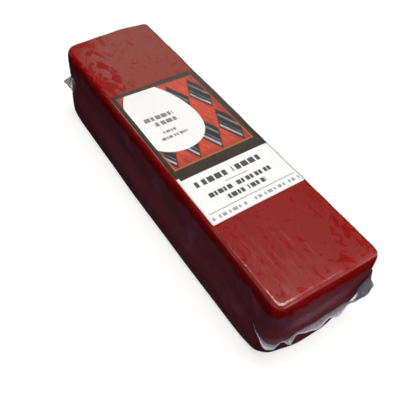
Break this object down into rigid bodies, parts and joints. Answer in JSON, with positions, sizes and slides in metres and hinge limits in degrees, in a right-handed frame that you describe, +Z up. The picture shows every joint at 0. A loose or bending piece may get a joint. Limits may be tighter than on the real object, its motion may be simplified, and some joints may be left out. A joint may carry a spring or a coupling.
{
  "type": "waxed cheese bar",
  "caption": "Long bar of red-waxed cheddar with a printed paper label over its top, in a tight clear film bag with a ruffled fin at each end.",
  "frame": {"origin": "middle of the base, on the surface that the bar lies on, which is the bottom centre of the bounding box", "axes": "+Z up, Y along the bar with the label's foot towards -Y, X across the bar"},
  "size_m": [0.0498, 0.1632, 0.0361],
  "materials": {
    "red_wax": "satin wax",
    "label_paper": "coated paper",
    "clear_film": "clear gloss film"
  },
  "bodies": {
    "root": {"waxed_cheese_bar": "red_wax", "paper_label": "label_paper", "film_bag": "clear_film"}
  },
  "joints": []
}
